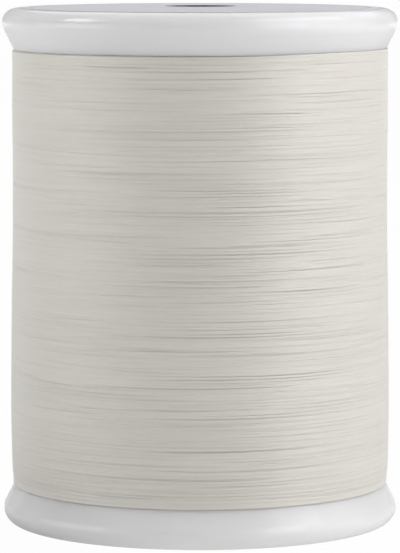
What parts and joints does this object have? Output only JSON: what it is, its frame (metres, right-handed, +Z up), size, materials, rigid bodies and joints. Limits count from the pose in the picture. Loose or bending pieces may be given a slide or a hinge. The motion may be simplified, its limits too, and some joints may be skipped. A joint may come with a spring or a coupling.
{
  "type": "spool of sewing thread",
  "caption": "Moulded plastic spool with two rounded flanges and a through bore, wound full of fine sewing thread, with a plain paper disc on its upper face.",
  "frame": {"origin": "centre of the foot, on the spool's axis, at the bottom of the bounding box", "axes": "+Z up along the spool's axis, from the foot to the face with the paper disc; X and Y are free, because the object is round"},
  "size_m": [0.045, 0.045, 0.0589],
  "materials": {
    "spool_plastic": "glossy white moulded plastic with a faint cool tint",
    "thread": "off-white polyester sewing thread with a soft sheen along the turns",
    "label_paper": "pale grey smooth paper with a thin plain border"
  },
  "bodies": {
    "root": {"spool": "spool_plastic", "thread": "thread", "label": "label_paper"}
  },
  "joints": []
}
